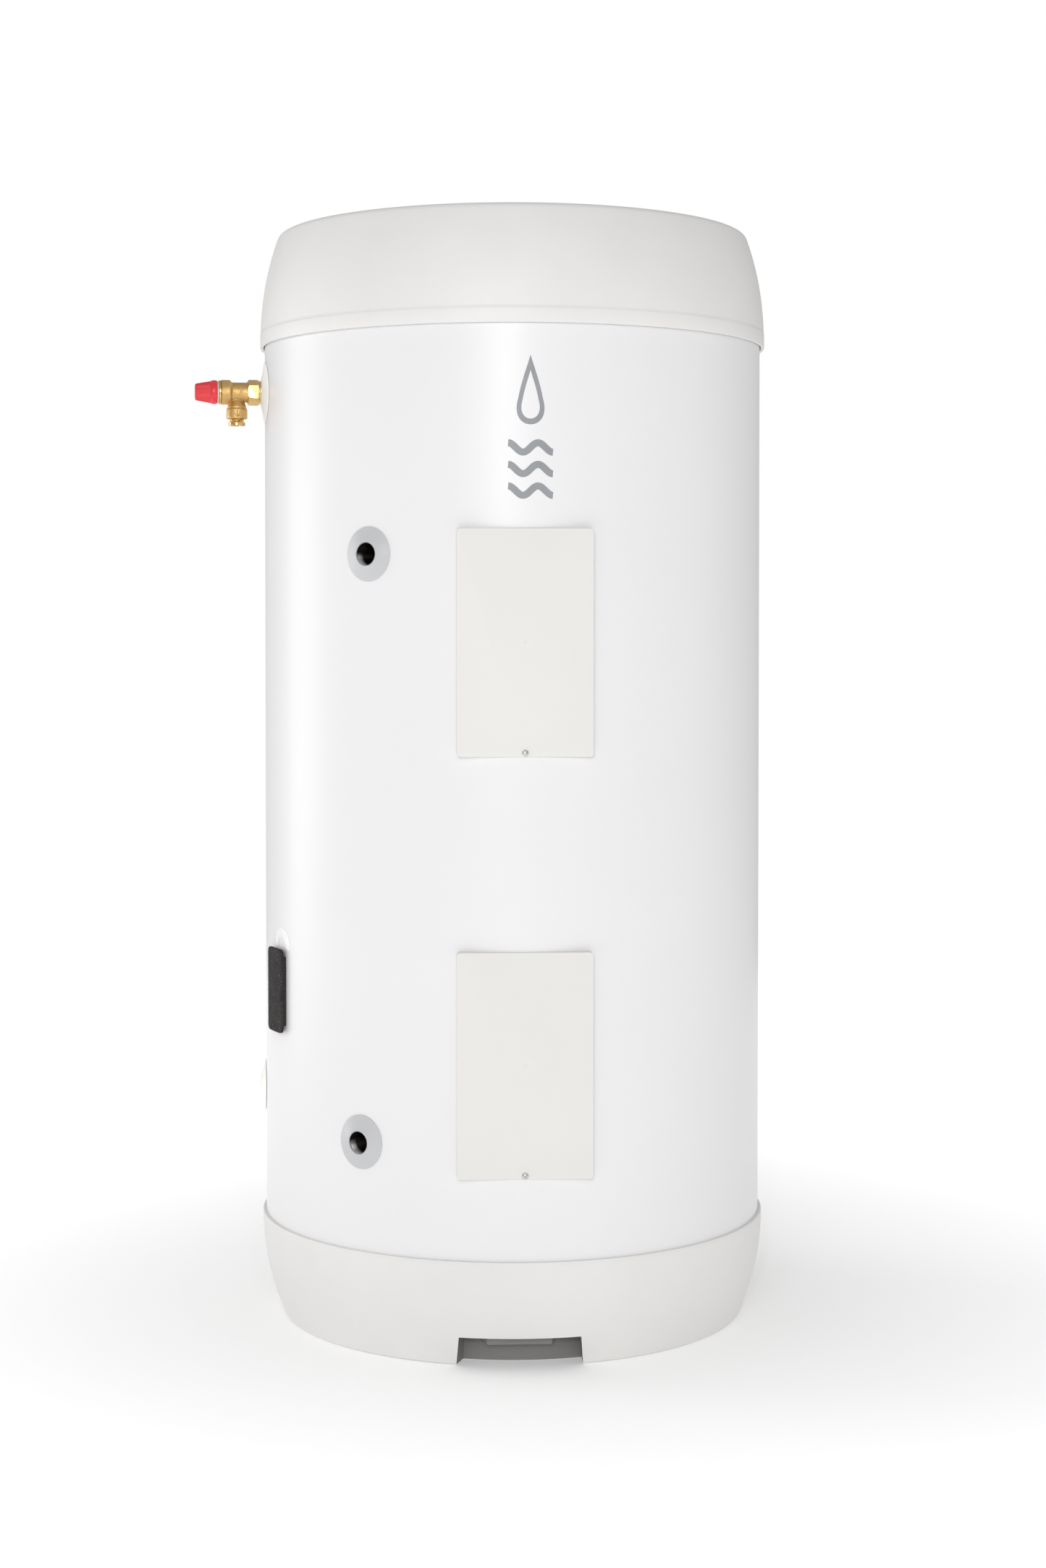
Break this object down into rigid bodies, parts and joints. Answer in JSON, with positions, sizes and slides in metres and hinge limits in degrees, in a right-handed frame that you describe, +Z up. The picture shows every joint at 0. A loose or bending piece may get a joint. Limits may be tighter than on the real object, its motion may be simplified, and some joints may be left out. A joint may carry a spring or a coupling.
{
  "type": "tank water heater",
  "caption": "Floor-standing hot water cylinder with moulded base and lid, heating coil sockets, immersion heaters behind flat covers and a pressure relief valve.",
  "frame": {"origin": "on the floor, at the axis of the tank", "axes": "+Z up along the tank's axis; -Y is the front, where the element covers are; -X is the side of the cold inlet"},
  "size_m": [0.665, 0.5904, 1.261],
  "materials": {
    "jacket_paint": "gloss",
    "moulded_shell": "satin",
    "cover_plastic": "matte",
    "collar_grey": "satin",
    "collar_white": "satin",
    "foam_insulation": "matte",
    "stainless": "satin",
    "brass": "satin",
    "copper": "satin",
    "black_foam": "matte",
    "black_rubber": "matte",
    "phenolic": "satin",
    "white_plastic": "satin",
    "knob_red": "satin"
  },
  "bodies": {
    "heater": {"base_plinth": "moulded_shell", "cable_grommet": "black_rubber", "cable_outlet": "moulded_shell", "coil_flow_collar": "collar_grey", "coil_flow_socket": "stainless", "coil_return_collar": "collar_grey", "coil_return_socket": "stainless", "cold_inlet_collar": "collar_white", "cold_inlet_pipe": "stainless", "cold_inlet_socket": "stainless", "heating_coil": "stainless", "hot_outlet_collar": "collar_white", "hot_outlet_pipe": "stainless", "hot_outlet_socket": "stainless", "insulation_base": "foam_insulation", "insulation_body": "foam_insulation", "insulation_top": "foam_insulation", "jacket": "jacket_paint", "lower_cable_duct": "white_plastic", "lower_element_boss": "stainless", "lower_element_gasket": "black_rubber", "lower_element_head": "brass", "lower_element_lead": "black_rubber", "lower_element_rod": "copper", "lower_pocket_liner": "phenolic", "lower_thermostat": "phenolic", "relief_body": "brass", "relief_bonnet": "brass", "relief_collar": "collar_white", "relief_outlet_sleeve": "brass", "relief_ring": "white_plastic", "relief_socket": "stainless", "relief_spring": "stainless", "sensor_foam_pad": "black_foam", "sensor_gasket": "black_rubber", "sensor_pocket": "copper", "tank_barrel": "stainless", "tank_bottom_head": "stainless", "tank_foot_ring": "stainless", "tank_top_head": "stainless", "top_lid": "moulded_shell", "upper_cable_duct": "white_plastic", "upper_element_boss": "stainless", "upper_element_gasket": "black_rubber", "upper_element_head": "brass", "upper_element_lead": "black_rubber", "upper_element_rod": "copper", "upper_pocket_liner": "phenolic", "upper_thermostat": "phenolic"},
    "relief_lift": {"relief_spindle": "brass", "relief_disc": "black_rubber"},
    "relief_handle": {"relief_knob": "knob_red"},
    "upper_door": {"upper_cover": "cover_plastic", "upper_cover_screw": "stainless"},
    "lower_door": {"lower_cover": "cover_plastic", "lower_cover_screw": "stainless"},
    "upper_dial": {"upper_thermostat_dial": "white_plastic"},
    "lower_dial": {"lower_thermostat_dial": "white_plastic"},
    "upper_reset": {"upper_reset_button": "knob_red"},
    "lower_reset": {"lower_reset_button": "knob_red"}
  },
  "joints": [
    {"name": "relief_lift_slide", "type": "slide", "parent": "heater", "child": "relief_lift", "axis": [-0.9936, -0.1132, 0], "range_m": [0, 0.002], "deforming": ["relief_spring"]},
    {"name": "relief_knob_turn", "type": "hinge", "parent": "relief_lift", "child": "relief_handle", "pos_m": [-0.3557, -0.04053, 1.073], "axis": [-0.9936, -0.1132, 0], "range_deg": [0, 90], "stiffness_Nm_per_rad": 0.05},
    {"name": "upper_cover_swing", "type": "hinge", "parent": "heater", "child": "upper_door", "pos_m": [0, -0.2903, 0.9087], "axis": [-1, 0, 0], "range_deg": [0, 60]},
    {"name": "upper_dial_turn", "type": "hinge", "parent": "heater", "child": "upper_dial", "pos_m": [0, -0.266, 0.8552], "axis": [0, -1, 0], "range_deg": [0, 270]},
    {"name": "upper_reset_press", "type": "slide", "parent": "heater", "child": "upper_reset", "axis": [0, 1, 0], "range_m": [0, 0.002], "stiffness_N_per_m": 300},
    {"name": "lower_cover_swing", "type": "hinge", "parent": "heater", "child": "lower_door", "pos_m": [0, -0.2903, 0.4545], "axis": [-1, 0, 0], "range_deg": [0, 60]},
    {"name": "lower_dial_turn", "type": "hinge", "parent": "heater", "child": "lower_dial", "pos_m": [0, -0.266, 0.401], "axis": [0, -1, 0], "range_deg": [0, 270]},
    {"name": "lower_reset_press", "type": "slide", "parent": "heater", "child": "lower_reset", "axis": [0, 1, 0], "range_m": [0, 0.002], "stiffness_N_per_m": 300}
  ],
  "couplings": [
    {"joint": "relief_knob_turn", "follows": "relief_lift_slide", "rad_per_m": 785.4}
  ]
}
